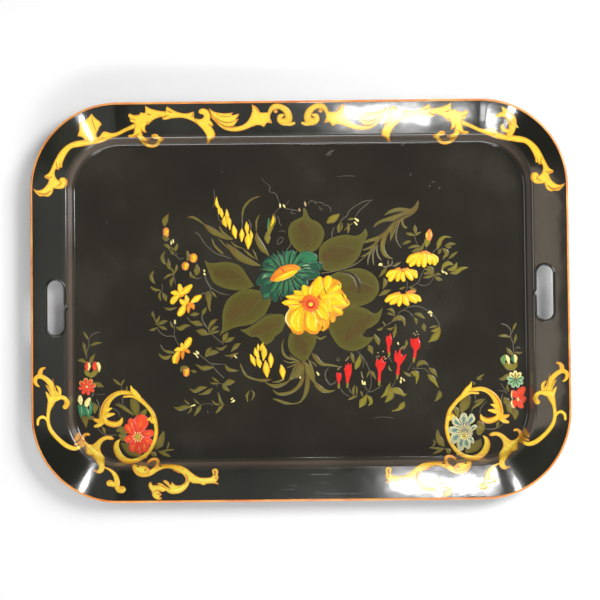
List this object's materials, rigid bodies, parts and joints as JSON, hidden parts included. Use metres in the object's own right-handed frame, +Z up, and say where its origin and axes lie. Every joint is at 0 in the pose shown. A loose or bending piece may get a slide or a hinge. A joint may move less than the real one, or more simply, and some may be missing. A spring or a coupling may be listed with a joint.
{
  "type": "painted metal tray",
  "caption": "Oblong round-cornered black lacquered sheet-iron tray with sloping border, wired edge, hand holes, gold scroll border and painted flower bouquet.",
  "frame": {"origin": "middle of the floor's underside, on the surface the tray rests on", "axes": "+X along the long side towards the right-hand end, +Y across towards the far long side, +Z up"},
  "size_m": [0.675, 0.502, 0.03],
  "materials": {
    "lacquered_sheet": "gloss black-brown lacquer with painted flowers and gold scrolls",
    "steel_wire": "drawn steel wire, hidden inside the rolled edges"
  },
  "bodies": {
    "root": {"tray_pan": "lacquered_sheet", "rim_wire": "steel_wire", "hand_hole_wire_left": "steel_wire", "hand_hole_wire_right": "steel_wire"}
  },
  "joints": []
}
